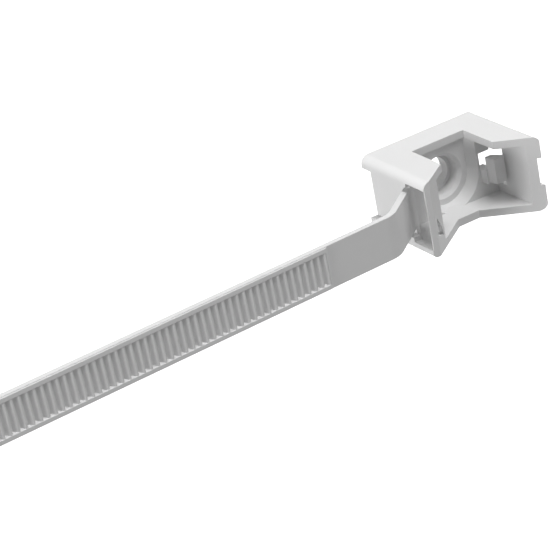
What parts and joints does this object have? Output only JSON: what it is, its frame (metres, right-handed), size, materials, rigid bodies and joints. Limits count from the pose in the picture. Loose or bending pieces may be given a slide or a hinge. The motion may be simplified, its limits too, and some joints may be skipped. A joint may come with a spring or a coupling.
{
  "type": "cable tie clamp",
  "caption": "One-piece screw-fixed cable tie clamp: V-saddle head with a countersunk seat and locking pawl, and a long ladder strap.",
  "frame": {"origin": "on the screw hole's axis, in the plane of the wall that the head stands on", "axes": "+Z away from the wall along the screw hole, -X the way the strap leaves the head, Y across the strap"},
  "size_m": [0.1703, 0.0132, 0.0246],
  "materials": {
    "nylon": "satin moulded nylon, light grey"
  },
  "bodies": {
    "root": {"cable_tie_clamp": "nylon"}
  },
  "joints": []
}
